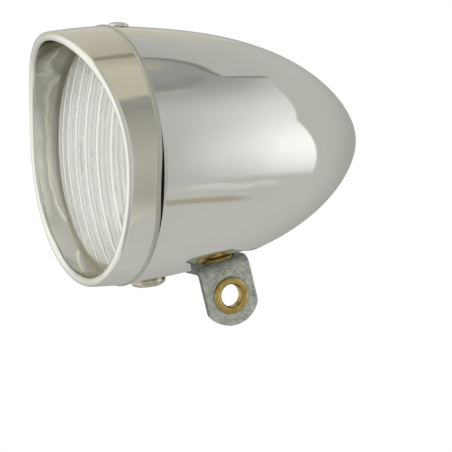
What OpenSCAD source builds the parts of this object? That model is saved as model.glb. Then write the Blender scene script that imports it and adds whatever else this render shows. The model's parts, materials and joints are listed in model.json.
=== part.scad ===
// Bicycle headlight: a bullet-shaped chromed lamp on an L-shaped bracket.
// The lamp is drawn with its axis along X, its front towards -X and the seam between rim and shell at
// x = 0. The finished part is then moved so that the eyelet in the bracket's leg is at the origin.

/* [Shell] */
// Diameter of the shell at its front edge
shell_d = 60.6; // [50:0.1:72]
// Length of the shell from its front edge to the tip of the nose
shell_len = 63.6; // [56:0.1:76]
// How late the shell starts to round off: higher is straighter
shell_bulge = 3.2; // [2.6:0.05:4]
// How blunt the nose is: higher is blunter
nose_blunt = 1.6; // [1.4:0.05:1.9]
// Share of the radius that the shell loses by an even taper
shell_taper = 0.185; // [0.1:0.005:0.25]
// Wall of the shell
shell_wall = 1.0; // [0.8:0.05:1.4]

/* [Rim and hood] */
// Width of the rim at its sides and bottom
rim_w = 8.8; // [7:0.1:12]
// How far the hood's peak stands forward of the rest of the rim
hood_peak = 5.9; // [3:0.1:8]
// How sharply the hood rises to its peak
hood_rise = 2.2; // [1.6:0.05:3]
// How much smaller the rim's radius is at the peak than at the seam
rim_draw = 0.7; // [0.3:0.05:1]
// Width of the rolled lip
lip_w = 2.3; // [1.8:0.05:2.6]
// Height of the bead over the rim
bead_h = 0.7; // [0.4:0.05:0.9]
// Width of the bead
bead_w = 1.2; // [0.8:0.05:1.6]
// Length of the skirt that goes into the shell
skirt_len = 3.0; // [2.6:0.1:3.4]

/* [Lens] */
// Radius of the lens's dome
dome_r = 90; // [75:1:120]
// Thickness of the lens between its flutes
lens_t = 1.5; // [1.2:0.1:2]
// Distance between flutes
flute_pitch = 5.8; // [4.5:0.1:7]
// Depth of a flute
flute_h = 0.8; // [0.4:0.05:1.1]
// Width of the lens's flat edge
lens_edge_w = 1.8; // [1.4:0.1:2.2]
// Thickness of the lens's flat edge
lens_edge_t = 2.2; // [1.8:0.1:2.6]

/* [Reflector and bulb holder] */
// Focal length of the reflector
focal_len = 8.5; // [8.2:0.1:9]
// Wall of the reflector
reflector_wall = 0.6; // [0.4:0.05:0.8]
// Thickness of the gasket
gasket_t = 1.1; // [0.8:0.1:1.4]
// Bore of the reflector's neck
neck_bore_d = 11.3; // [11.2:0.05:11.8]
// Length of the reflector's neck
neck_len = 6.5; // [5:0.1:8]
// Outer diameter of the threaded holder
sleeve_d = 11.2; // [11:0.02:11.2]
// Wall of the threaded holder
sleeve_wall = 0.75; // [0.6:0.05:0.8]
// Outer diameter of the holder's insulator
insulator_d = 12.0; // [12:0.1:12.6]

/* [Bulb] */
// Diameter of the bulb's glass
bulb_d = 11.0; // [10:0.1:11]
// Diameter of the screw cap
cap_d = 9.6; // [9.4:0.02:9.6]
// Length of the screw cap
cap_len = 10; // [9:0.1:11]
// Wall of the glass
glass_wall = 0.5; // [0.4:0.05:0.7]

/* [Bracket] */
// Width of the bracket strip
strip_w = 13.0; // [11.5:0.1:13.4]
// Thickness of the bracket strip
strip_t = 1.5; // [1.2:0.05:1.8]
// How much the radius of the strip's rounded ends is over half its width
end_extra = 0.75; // [0.4:0.05:1.1]
// Outer radius of the bend
bend_r = 2.2; // [2:0.05:2.4]
// Lean of the leg away from the lamp's cross section, in degrees
lean = 12.3; // [9:0.1:14]
// Distance of the pivot behind the seam
pivot_x = 26.0; // [25:0.1:27]
// Distance from the pivot to the leg's outer face
leg_out = 6.6; // [6.5:0.1:7.2]
// Distance from the foot's upper face down to the leg's eyelet
eye_drop = 8.3; // [8.2:0.1:14]
// How far the pivot is off the middle of the strip
pivot_off = 1.35; // [1:0.05:1.6]

/* [Eyelets and pivot] */
// Bore of the eyelets
eye_bore_d = 5.3; // [5.1:0.05:5.5]
// Outer diameter of the eyelets' flange
eye_flange_d = 9.0; // [8.6:0.1:9.2]
// Height of the eyelets' flange
eye_flange_h = 0.75; // [0.6:0.05:0.9]
// Outer diameter of the eyelets' tube
eye_tube_d = 6.4; // [6.2:0.05:6.6]
// Outer diameter of the eyelets' rolled back
eye_back_d = 7.6; // [7.2:0.1:8]
// Bore of the hollow pivot
pivot_bore_d = 3.2; // [2.8:0.1:3.4]
// Width across the flats of the pivot's head and nut
pivot_flats = 8.0; // [7.6:0.1:8.2]
// Height of the spacer over the foot's eyelet
spacer_h = 1.1; // [0.9:0.05:1.2]

/* [Recess under the shell] */
// Depth of the recess's roof under the shell's surface at the pivot
recess_depth = 3.4; // [2.8:0.1:4]
// Narrow front edge of the recess, measured from the seam
recess_front = 17.0; // [16.4:0.1:17.1]
// Half the width of that narrow front edge
recess_waist = 5.5; // [5:0.1:6]
// Narrow rear edge of the recess, measured from the seam
recess_rear = 32.9; // [32.6:0.1:34]
// Slope of the recess's flared front walls
front_flare = 0.5; // [0.4:0.01:0.55]
// Slope of the recess's flared rear walls
rear_flare = 0.17; // [0.1:0.01:0.25]
// Radius that rounds the roof down to the front
roof_round = 18; // [14:0.5:22]

/* [Rivet, catch and screw] */
// Distance of the top rivet behind the seam
rivet_x = 3.05; // [2.8:0.05:3.4]
// Diameter of the top rivet's head
rivet_head_d = 4.8; // [4.2:0.1:5]
// Height of the top rivet's head
rivet_head_h = 0.9; // [0.7:0.05:1.1]
// Width of the catch
catch_w = 7; // [6:0.1:8]
// Thickness of the catch
catch_t = 0.75; // [0.7:0.05:0.8]
// Distance of the rim screw behind the seam
screw_x = 8.0; // [7.6:0.1:8.4]
// Diameter of the rim screw's thread
screw_d = 4.0; // [3.6:0.1:4.2]
// Diameter of the rim screw's head
screw_head_d = 8.3; // [7.6:0.1:8.6]
// Height of the rim screw's head
screw_head_h = 2.2; // [1.9:0.05:2.4]

/* [Clearances] */
// Radial clearance of a shaft that turns in a bore
turn_gap = 0.05; // [0.03:0.01:0.08]
// Clearance between faces that meet but don't press
face_gap = 0.05; // [0.03:0.01:0.1]
// Radial clearance of the skirt in the shell
skirt_gap = 0.25; // [0.2:0.01:0.3]
// Clearance of pieces that lie in a seat
seat_gap = 0.12; // [0.08:0.01:0.15]
// Clearance round the catch and its finger
catch_gap = 0.12; // [0.1:0.01:0.15]

/* [Hidden] */
$fn = 96;

// Shell profile
shell_r = shell_d/2;
inner_len = shell_len - shell_wall;
function bullet(t) = pow(1 - pow(t, shell_bulge), 1/nose_blunt)*(1 - shell_taper*t);
function shell_out(x) = shell_r*bullet(x/shell_len);
function shell_in(x) = (shell_r - shell_wall)*bullet(x/inner_len);
function shell_slope(x) = atan((shell_out(x - 0.05) - shell_out(x + 0.05))/0.1);
profile_steps = 40;
function bullet_points(r, len) = [for (i = [0:profile_steps])
    let (t = sin(90*i/profile_steps)) [len*t, i == profile_steps ? 0 : r*bullet(t)]];

// Rim profile
bead_r = shell_r + bead_h;
rim_r = shell_r - 0.05;
peak_len = rim_w + hood_peak;
function rim_out(x) = rim_r - rim_draw*pow(x/peak_len, 2);
function lip_x(a) = -rim_w - hood_peak*pow(max(cos(a), 0), hood_rise);
hood_in_front = rim_r - rim_draw - lip_w;
seat_r = shell_r - 2.75;
hood_in_seat = seat_r - 0.65;
lens_r = seat_r - seat_gap;

// Places along the lamp's axis
lens_seat_x = -2.5;
lens_back_x = lens_seat_x + lens_edge_t;
gasket_back_x = lens_back_x + gasket_t;
flange_back_x = gasket_back_x + reflector_wall;
dish_r = seat_r - 2.4;
vertex_x = flange_back_x + dish_r*dish_r/(4*focal_len);
focus_x = vertex_x - focal_len;
neck_r = neck_bore_d/2;
neck_x = vertex_x - neck_r*neck_r/(4*focal_len);
neck_end = neck_x + neck_len;
cap_front = neck_x + 1;
cap_end = cap_front + cap_len;
tip_x = cap_end + 1.5;
sleeve_front = cap_front + 1.5;
sleeve_end = cap_end + 1;
spring_end = tip_x + 3;
insulator_end = spring_end + 1.2;

// Pivot frame: origin on the foot's upper face, local Z along the pivot, local X along the strip
strip_end_r = strip_w/2 + end_extra;
roof_drop = shell_out(pivot_x) - recess_depth;
foot_room = 2.7;
foot_lift = -(roof_drop + foot_room);
roof_up = (-roof_drop - foot_lift)/cos(lean);
roof_in_up = roof_up + shell_wall/cos(lean);
boss_r = eye_tube_d/2 - 0.1;
boss_face = eye_flange_h + 2*face_gap + spacer_h;
washer_r = pivot_flats/2;
inner_boss_face = roof_in_up + washer_r*tan(lean) + 0.05;
washer_t = 0.6;
nut_h = 2.4;
eye_back_h = 0.6;
pivot_r = eye_bore_d/2 - turn_gap;
pivot_head_h = 2.0;
pivot_top = inner_boss_face + washer_t + nut_h + 3*face_gap + 0.3;
pivot_head_top = -strip_t - eye_back_h - face_gap;

// Hook hinge at the top: its axis lies on the bead, across the lamp
hinge_z = bead_r;
catch_slope = shell_slope(rivet_x);
wall_z = shell_in(rivet_x) + rivet_x*tan(catch_slope);
finger_in = (hinge_z - wall_z)*cos(catch_slope) + catch_w*catch_w/8/shell_r + 0.08;
finger_out = finger_in + catch_t;
catch_len = 7;
finger_angle = 38;
slot_end = catch_slope + finger_angle + 4;
rivet_shank_r = 1.2;

// Screw under the rim
screw_len = 6.0;
plate_len = 8.7;
plate_w = 9;
plate_t = 1;
screw_r = screw_d/2;

// Place of the leg's eyelet in the lamp's frame
eye_x = pivot_x - pivot_off*cos(lean) + eye_drop*sin(lean);
eye_z = foot_lift - pivot_off*sin(lean) - eye_drop*cos(lean);
eye_y = -leg_out + strip_t/2;

module to_row() translate([-eye_x, -eye_y, -eye_z]) children();

// Turns a profile of [x, r] points round the lamp's axis
module turned(points) rotate([0, 90, 0]) rotate_extrude() polygon([for (p = points) [p[1], p[0]]]);

// A rod or ring along the lamp's axis
module rod(r, x0, x1) translate([x0, 0, 0]) rotate([0, 90, 0]) cylinder(r = r, h = x1 - x0);

// Puts children on the shell's surface, with local Z pointing out: side is 1 on top, -1 underneath
module on_shell(x, side) translate([x, 0, side*shell_out(x)])
    rotate([0, side*shell_slope(x), 0])
        rotate([side > 0 ? 0 : 180, 0, 0]) children();

// Puts children in the pivot's frame
module on_pivot() translate([pivot_x, 0, foot_lift]) rotate([0, -lean, 0]) children();

// Plan of the recess, grown by g on every side
function recess_plan(g) = let (reach = shell_r + 5, waist = recess_waist)
    [[recess_front - g, -waist], [recess_front - g - front_flare*(reach - waist), -reach],
     [recess_rear + g + rear_flare*reach, -reach], [recess_rear + g, 0],
     [recess_rear + g + rear_flare*reach, reach],
     [recess_front - g - front_flare*(reach - waist), reach], [recess_front - g, waist]];

// Side view of the recess in [x, z]: a level roof that rounds down to the front
function recess_side(g) = let (xc = pivot_x - 6, zr = -roof_drop + g)
    concat([[recess_rear + 20, zr - 30], [recess_rear + 20, zr]],
        [for (a = [0:2:50]) [xc - roof_round*sin(a), zr - roof_round*(1 - cos(a))]],
        [[xc - roof_round*sin(50), zr - 30]]);

module recess(g) intersection() {
    translate([0, 0, -shell_r - 10]) linear_extrude(height = shell_r) polygon(recess_plan(g));
    rotate([90, 0, 0]) translate([0, 0, -shell_r - 10]) linear_extrude(height = 2*shell_r + 20)
        polygon(recess_side(g));
}

module shell_body() turned(concat([[0, 0]], bullet_points(shell_r, shell_len)));
module shell_cavity() turned(concat([[-1, 0], [-1, shell_r - shell_wall]],
    bullet_points(shell_r - shell_wall, inner_len)));

module shell() color("gainsboro") to_row() difference() {
    union() {
        difference() {
            shell_body();
            shell_cavity();
        }
        intersection() {
            shell_body();
            recess(shell_wall);
        }
        on_pivot() translate([0, 0, roof_up]) cylinder(r = washer_r, h = inner_boss_face - roof_up);
    }
    difference() {
        recess(0);
        on_pivot() translate([0, 0, boss_face]) cylinder(r = boss_r, h = 2*roof_up);
        on_pivot() translate([0, 0, roof_up + 0.9]) cylinder(r = washer_r, h = 9);
    }
    on_pivot() translate([0, 0, -1]) cylinder(r = pivot_r + turn_gap, h = 20);
    on_shell(rivet_x, 1) translate([0, 0, -5]) cylinder(r = rivet_shank_r + face_gap, h = 10);
    on_shell(screw_x, -1) translate([0, 0, -5]) cylinder(r = screw_r + 0.2, h = 10);
}

module top_rivet() color("silver") to_row() on_shell(rivet_x, 1) {
    rotate_extrude() polygon(concat([[0, 0]],
        [for (a = [0:6:90]) [rivet_head_d/2*cos(a), 0.02 + rivet_head_h*sin(a)]]));
    tail = finger_out - (hinge_z - rivet_x*tan(catch_slope) - shell_out(rivet_x))*cos(catch_slope) + 0.02;
    translate([0, 0, -tail - 0.1]) cylinder(r = rivet_shank_r, h = tail + 0.15);
    translate([0, 0, -tail - 0.4]) cylinder(r = rivet_shank_r + 0.3, h = 0.4);
}

// Points on an arc of radius r about the hook hinge, from angle a to b forward of straight down
function arc_points(r, a, b) = [for (i = [0:8]) let (c = a + (b - a)*i/8) [-r*sin(c), -r*cos(c)]];

// Sprung hook under the shell's top: the finger curves round the hinge axis into the rim's slot
module top_catch() color("slategray") to_row() difference() {
    translate([0, catch_w/2, hinge_z]) rotate([90, 0, 0]) {
        rotate(-catch_slope) translate([-0.2, -finger_out, 0]) cube([catch_len + 0.2, catch_t, catch_w]);
        rotate(-90 - catch_slope - finger_angle) rotate_extrude(angle = finger_angle)
            translate([finger_in, 0]) square([catch_t, catch_w]);
    }
    on_shell(rivet_x, 1) translate([0, 0, -8]) cylinder(r = rivet_shank_r + face_gap, h = 10);
}

// Plate that the rim screw pulls down on the skirt and the shell
module clamp_plate() color("slategray") to_row() {
    skirt_in = seat_r - seat_gap;
    front_x = skirt_len - 1.3;
    step_x = skirt_len + 0.3;
    difference() {
        intersection() {
            turned(concat([[front_x, skirt_in], [step_x, skirt_in]],
                [for (i = [0:6]) let (x = step_x + i*plate_len/6) [x, shell_in(x) - seat_gap]],
                [[step_x + plate_len, skirt_in - plate_t], [front_x, skirt_in - plate_t]]));
            translate([0, -plate_w/2, -shell_r]) cube([20, plate_w, 10]);
        }
        on_shell(screw_x, -1) translate([0, 0, -8]) cylinder(r = screw_r + turn_gap, h = 10);
    }
}

module rim_screw() color("tan") to_row() on_shell(screw_x, -1) difference() {
    union() {
        translate([0, 0, -screw_len]) cylinder(r = screw_r, h = screw_len + 0.1);
        rotate_extrude() polygon(concat([[0, 0.02], [screw_head_d/2 - 0.2, 0.02]],
            [for (a = [0:9:90])
                [screw_head_d/2 - 1.3*(1 - cos(a)), 0.75 + (screw_head_h - 0.75)*sin(a)]],
            [[0, screw_head_h]]));
    }
    translate([-screw_head_d/2 - 1, -0.5, screw_head_h - 0.9]) cube([screw_head_d + 2, 1, 2]);
}

// Section of the rim at angle a from the top, as [x, r] points round the wall
function rim_section(a) = let (xl = lip_x(a), ro = rim_out(xl + 1), lr = lip_w/2, rm = ro - lr)
    concat(
        [[skirt_len, seat_r], [skirt_len, shell_in(skirt_len) - skirt_gap],
         [-0.02, shell_in(0) - skirt_gap], [-0.02, bead_r - bead_w/2]],
        [for (b = [30:30:150]) [-bead_w/2 + bead_w/2*cos(b), bead_r - bead_w/2 + bead_w/2*sin(b)]],
        [[-bead_w - 0.25, rim_out(0)]],
        [for (i = [1:3]) let (x = -bead_w + (xl + lr + bead_w)*i/4) [x, rim_out(x)]],
        [for (b = [0:22.5:180]) [xl + lr - lr*sin(b), rm + lr*cos(b)]],
        [[lens_seat_x, hood_in_seat], [lens_seat_x, seat_r]]);

rim_turns = 84;

module rim() color("lightgray") to_row() difference() {
    sections = [for (k = [0:rim_turns - 1]) let (a = 360*k/rim_turns)
        [for (p = rim_section(a)) [p[0], -p[1]*sin(a), p[1]*cos(a)]]];
    m = len(sections[0]);
    polyhedron(points = [for (s = sections) for (p = s) p],
        faces = [for (k = [0:rim_turns - 1]) for (j = [0:m - 1]) for (h = [0, 1])
            let (n = (k + 1) % rim_turns, i = (j + 1) % m)
            h == 0 ? [k*m + j, n*m + j, n*m + i] : [k*m + j, n*m + i, k*m + i]]);
    // Gap in the skirt and curved slot in the wall for the catch
    translate([-0.01, -catch_w/2 - 0.7, seat_r - 4]) cube([skirt_len + 2, catch_w + 1.4, 5.8]);
    translate([0, catch_w/2 + catch_gap, hinge_z]) rotate([90, 0, 0])
        linear_extrude(height = catch_w + 2*catch_gap) polygon(concat(
            arc_points(finger_in - catch_gap, -6, slot_end),
            arc_points(finger_out + catch_gap, slot_end, -6)));
}

// Domed lens with a flat edge. Its back is channelled by upright flutes that follow the dome.
function sag(q, r) = r - sqrt(r*r - q*q);
dome_x = lens_seat_x + 0.02 - sag(hood_in_seat, dome_r);
lens_in_r = lens_r - lens_edge_w;
flute_r = (flute_pitch*flute_pitch/4 + flute_h*flute_h)/(2*flute_h);
flute_steps = 4;
lens_rows = 14;
function front_x(y, z) = dome_x + sag(norm([y, z]), dome_r);
function back_x(y, z) = let (off = y - flute_pitch*round(y/flute_pitch), r = dome_r - lens_t)
    dome_x + dome_r - sqrt(pow(r - sag(y, r) - sag(off, flute_r), 2) - z*z);

// The two faces are grids of upright columns, and loops of points run round the edge between them
module lens() color("aliceblue") to_row() {
    step = flute_pitch/flute_steps;
    reach = 0.995*lens_in_r;
    count = floor((reach - 0.3)/step);
    ys = concat([-reach], [for (i = [-count:count]) i*step], [reach]);
    rows = lens_rows;
    last = len(ys) - 1;
    grid = [for (y = ys) let (h = sqrt(lens_in_r*lens_in_r - y*y)) for (i = [0:rows]) [y, h*(2*i/rows - 1)]];
    back = len(grid);
    border = concat([for (i = [0:rows]) i], [for (c = [1:last - 1]) c*(rows + 1) + rows],
        [for (i = [rows:-1:0]) last*(rows + 1) + i], [for (c = [last - 1:-1:1]) c*(rows + 1)]);
    m = len(border);
    edge = [for (b = border) grid[b]/norm(grid[b])];
    points = concat(
        [for (p = grid) [front_x(p[0], p[1]), p[0], p[1]]],
        [for (p = grid) [back_x(p[0], p[1]), p[0], p[1]]],
        [for (u = edge) [front_x(lens_r, 0), lens_r*u[0], lens_r*u[1]]],
        [for (u = edge) [lens_back_x, lens_r*u[0], lens_r*u[1]]],
        [for (u = edge) [lens_back_x, lens_in_r*u[0], lens_in_r*u[1]]]);
    loops = concat([border], [for (r = [0:2]) [for (k = [0:m - 1]) 2*back + r*m + k]],
        [[for (b = border) back + b]]);
    polyhedron(points = points, faces = concat(
        [for (c = [0:last - 1]) for (i = [0:rows - 1]) for (h = [0, 1])
            let (p = c*(rows + 1) + i, q = p + rows + 1) h == 0 ? [p, q, q + 1] : [p, q + 1, p + 1]],
        [for (c = [0:last - 1]) for (i = [0:rows - 1]) for (h = [0, 1])
            let (p = back + c*(rows + 1) + i, q = p + rows + 1) h == 0 ? [p, p + 1, q + 1] : [p, q + 1, q]],
        [for (r = [0:3]) for (k = [0:m - 1]) for (h = [0, 1])
            let (n = (k + 1) % m, one = loops[r], two = loops[r + 1])
            h == 0 ? [one[k], one[n], two[n]] : [one[k], two[n], two[k]]]));
}

module lens_gasket() color("dimgray") to_row() difference() {
    rod(seat_r - 0.15, lens_back_x + 0.01, gasket_back_x);
    rod(seat_r - 2, -20, 20);
}

function dish_points(r, x0, n) = [for (i = [0:n]) let (q = neck_r + (r - neck_r)*i/n)
    [vertex_x + x0 - q*q/(4*focal_len), q]];

module reflector() color("whitesmoke") to_row() {
    front = dish_points(dish_r, 0, 16);
    back = dish_points(dish_r + 0.1, reflector_wall*1.4, 16);
    turned(concat(
        [[neck_end, neck_r], [neck_x, neck_r]], [for (i = [1:16]) front[i]],
        [[gasket_back_x + 0.01, dish_r], [gasket_back_x + 0.01, seat_r - 0.75],
         [flange_back_x, seat_r - 0.75], [flange_back_x, dish_r + 0.5]],
        [for (i = [15:-1:2]) back[i] + [0.1, 0.25]],
        [[neck_x + 1.8, neck_r + 0.8], [neck_end, neck_r + 0.8]]));
}

clip_t = 0.38;
clip_reach = 1.8;
clip_len = 1.3;
clip_sweep = 14;
module reflector_clips() color("lightsteelblue") to_row() for (a = [45:90:315])
    rotate([a - clip_sweep/2, 0, 0]) rotate([0, 90, 0]) rotate_extrude(angle = clip_sweep) polygon([
        [seat_r - clip_reach, flange_back_x + 0.01], [seat_r - 0.02, flange_back_x + 0.01],
        [seat_r - 0.02, flange_back_x + clip_len], [seat_r - 0.02 - clip_t, flange_back_x + clip_len],
        [seat_r - 0.02 - clip_t, flange_back_x + clip_t], [seat_r - clip_reach, flange_back_x + clip_t]]);

sleeve_r = sleeve_d/2;
collar_h = 1.6;
collar_t = 0.6;
module socket_sleeve() color("goldenrod") to_row() turned([
    [sleeve_front, sleeve_r - sleeve_wall], [sleeve_front, sleeve_r], [neck_end + 0.02, sleeve_r],
    [neck_end + 0.02, sleeve_r + collar_h], [neck_end + collar_t, sleeve_r + collar_h],
    [neck_end + collar_t, sleeve_r], [sleeve_end, sleeve_r], [sleeve_end, sleeve_r - sleeve_wall]]);

// Terminal: rivet head inside the insulator, shank through it, blade behind it
rivet_head_r = 2.6;
shank_r = 1.0;
blade_w = 4.8;
blade_t = 0.6;
blade_low = 2;
blade_high = 6;
module socket_insulator() color("saddlebrown") to_row() difference() {
    rod(insulator_d/2, sleeve_end - 1.5, insulator_end);
    rod(sleeve_r + 0.03, sleeve_end - 2, sleeve_end + 0.02);
    rod(rivet_head_r + 0.6, sleeve_end, spring_end + 0.3);
    rod(shank_r + 0.03, sleeve_end, insulator_end + 1);
}

// Coil spring, swept along a helix
spring_turns = 4;
spring_wire_r = 0.3;
module contact_spring() color("silver") to_row() {
    rings = spring_turns*10;
    sides = 6;
    x0 = tip_x + spring_wire_r + 0.02;
    rise = spring_end - tip_x - 2*spring_wire_r - 0.05;
    points = [for (i = [0:rings]) for (j = [0:sides - 1]) let (a = 36*i, b = 360*j/sides,
        q = 2.0 + spring_wire_r*cos(b)) [x0 + rise*i/rings + spring_wire_r*sin(b), q*cos(a), q*sin(a)]];
    polyhedron(points = points, faces = concat(
        [[for (j = [0:sides - 1]) j]], [[for (j = [sides - 1:-1:0]) rings*sides + j]],
        [for (i = [0:rings - 1]) for (j = [0:sides - 1]) for (h = [0, 1])
            let (n = (j + 1) % sides, p = i*sides, q = p + sides)
            h == 0 ? [p + j, q + j, q + n] : [p + j, q + n, p + n]]));
}

module feed_terminal() color("gold") to_row() {
    rod(rivet_head_r, spring_end + 0.01, spring_end + 0.28);
    rod(shank_r, spring_end + 0.2, insulator_end + blade_t + 0.1);
    translate([insulator_end + 0.02, -blade_w/2, -blade_low])
        cube([blade_t, blade_w, blade_low + blade_high]);
}

bulb_r = bulb_d/2;
bulb_x = focus_x + 0.8;
glass_neck_r = 3.4;
module bulb_glass() color("ghostwhite") to_row() {
    neck = glass_neck_r;
    a0 = asin(neck/bulb_r);
    turned(concat(
        [for (a = [0:7.5:180 - a0]) [bulb_x - bulb_r*cos(a), bulb_r*sin(a)]],
        [[bulb_x + bulb_r*cos(a0), neck], [cap_front + 2, neck], [cap_front + 2, neck - glass_wall]],
        [for (a = [180 - a0 - 2:-8:0])
            [bulb_x - (bulb_r - glass_wall)*cos(a), (bulb_r - glass_wall)*sin(a)]],
        [[bulb_x - bulb_r + glass_wall, 0]]));
}

cap_base_t = 0.6;
contact_r = 2.2;
module bulb_cap() color("goldenrod") to_row() difference() {
    union() {
        rod(cap_d/2, cap_front + 0.6, cap_end);
        rod(cap_d/2 - 0.7, cap_front, cap_front + 0.7);
    }
    rod(glass_neck_r + 0.02, cap_front - 1, cap_front + 2.02);
    rod(glass_neck_r - 0.4, cap_front, cap_end - cap_base_t);
    rod(contact_r, cap_front, cap_end + 1);
}

module bulb_contact() color("darkslategray") to_row() turned([
    [cap_end - cap_base_t, 0], [cap_end - cap_base_t, contact_r - 0.02],
    [cap_end + 0.6, contact_r - 0.02], [cap_end + 0.9, contact_r - 0.6],
    [tip_x - 0.3, contact_r - 0.7], [tip_x, contact_r/2], [tip_x, 0]]);

// Filament: coil across the lamp on two upright wires, in a glass bead
stem_gap = 2.4;
stem_len = 5;
bead_in_r = 1.5;
coil_len = 3;
module bulb_filament() color("dimgray") to_row() {
    rod(bead_in_r, focus_x + stem_len - 0.8, cap_end - cap_base_t - 0.05);
    for (s = [-1, 1]) translate([focus_x, s*stem_gap/2, 0])
        rotate([0, 90, 0]) cylinder(r = 0.18, h = stem_len);
    translate([focus_x, coil_len/2, 0]) rotate([90, 0, 0]) cylinder(r = 0.3, h = coil_len);
}

// Outline of a strip end: straight edges and a wide arc about the eyelet
function strip_end(w, r) = let (a = asin(w/2/r)) [for (i = [0:16]) let (b = -a + 2*a*i/16)
    [r*sin(b), r*cos(b)]];

module bracket() color("darkgray") to_row() on_pivot() {
    hole_r = eye_tube_d/2 + 0.02;
    half = strip_w/2;
    translate([-pivot_off, 0, 0]) {
        difference() {
            translate([0, 0, -strip_t]) linear_extrude(height = strip_t) polygon(concat(
                [[half, -leg_out + bend_r], [-half, -leg_out + bend_r]], strip_end(strip_w, strip_end_r)));
            translate([pivot_off, 0, -9]) cylinder(r = hole_r, h = 18);
        }
        translate([-half, -leg_out + bend_r, -bend_r]) rotate([90, 0, 90])
            rotate([0, 0, 90]) rotate_extrude(angle = 90)
                translate([bend_r - strip_t, 0]) square([strip_t, strip_w]);
        difference() {
            translate([0, -leg_out, 0]) rotate([-90, 0, 0]) linear_extrude(height = strip_t)
                polygon(concat([[half, bend_r], [-half, bend_r]],
                    [for (p = strip_end(strip_w, strip_end_r)) [p[0], eye_drop + p[1]]]));
            translate([0, -leg_out - 9, -eye_drop]) rotate([-90, 0, 0]) cylinder(r = hole_r, h = 18);
        }
    }
}

// Brass eyelet: rolled flange on top of the strip, tube through it, rolled back beneath
module eyelet() rotate_extrude() {
    bore = eye_bore_d/2;
    flange = eye_flange_d/2;
    tube = eye_tube_d/2;
    polygon(concat(
        [[bore, 0], [bore + 0.15, eye_flange_h*0.5]],
        [for (a = [160:-20:20]) let (c = (bore + 0.3 + flange)/2, h = (flange - bore - 0.3)/2)
            [c + h*cos(a), eye_flange_h*(0.35 + 0.65*sin(a))]],
        [[flange, 0.01], [tube, 0.01], [tube, -strip_t - 0.01], [eye_back_d/2, -strip_t - 0.01],
         [eye_back_d/2 - 0.15, -strip_t - eye_back_h*0.7], [tube, -strip_t - eye_back_h],
         [bore + 0.2, -strip_t - eye_back_h], [bore, -strip_t - eye_back_h + 0.2]]));
}

module leg_eyelet() color("goldenrod") to_row() on_pivot()
    translate([-pivot_off, -leg_out, -eye_drop]) rotate([90, 0, 0]) eyelet();

module foot_eyelet() color("goldenrod") to_row() on_pivot() eyelet();

module hexagon(flats, h) cylinder(r = flats/2/cos(30), h = h, $fn = 6);

module pivot_tube() color("darkgoldenrod") to_row() on_pivot() difference() {
    union() {
        translate([0, 0, pivot_head_top - 0.1]) cylinder(r = pivot_r, h = pivot_top - pivot_head_top + 0.1);
        translate([0, 0, pivot_head_top - pivot_head_h]) hexagon(pivot_flats, pivot_head_h);
    }
    translate([0, 0, -20]) cylinder(r = pivot_bore_d/2, h = 40);
}

module pivot_spacer() color("goldenrod") to_row() on_pivot() difference() {
    translate([0, 0, eye_flange_h + face_gap]) cylinder(r = boss_r, h = spacer_h);
    translate([0, 0, -20]) cylinder(r = pivot_r + turn_gap, h = 40);
}

module pivot_lock_washer() color("slategray") to_row() on_pivot() difference() {
    translate([0, 0, inner_boss_face + face_gap]) cylinder(r = washer_r - 0.1, h = washer_t);
    translate([0, 0, -20]) cylinder(r = pivot_r + turn_gap, h = 40);
}

module pivot_nut() color("darkgoldenrod") to_row() on_pivot() difference() {
    translate([0, 0, inner_boss_face + washer_t + 2*face_gap]) hexagon(pivot_flats, nut_h);
    translate([0, 0, -20]) cylinder(r = pivot_r + turn_gap, h = 40);
}

shell();
top_rivet();
top_catch();
clamp_plate();
rim_screw();
rim();
lens();
lens_gasket();
reflector();
reflector_clips();
socket_sleeve();
socket_insulator();
contact_spring();
feed_terminal();
bulb_glass();
bulb_cap();
bulb_contact();
bulb_filament();
bracket();
leg_eyelet();
foot_eyelet();
pivot_tube();
pivot_spacer();
pivot_lock_washer();
pivot_nut();
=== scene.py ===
"""Bicycle headlight: materials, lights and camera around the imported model.

Lamp coordinates are millimetres from the centre of the seam between rim and shell: x runs back along the
lamp, y across it away from the viewer, z up. TO_ROW turns them into the frame's metres.
"""

import json
from math import asin, atan, atan2, cos, degrees, exp, pi, radians, sin, sqrt, tan

import bmesh
import bpy
from mathutils import Matrix, Vector

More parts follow.
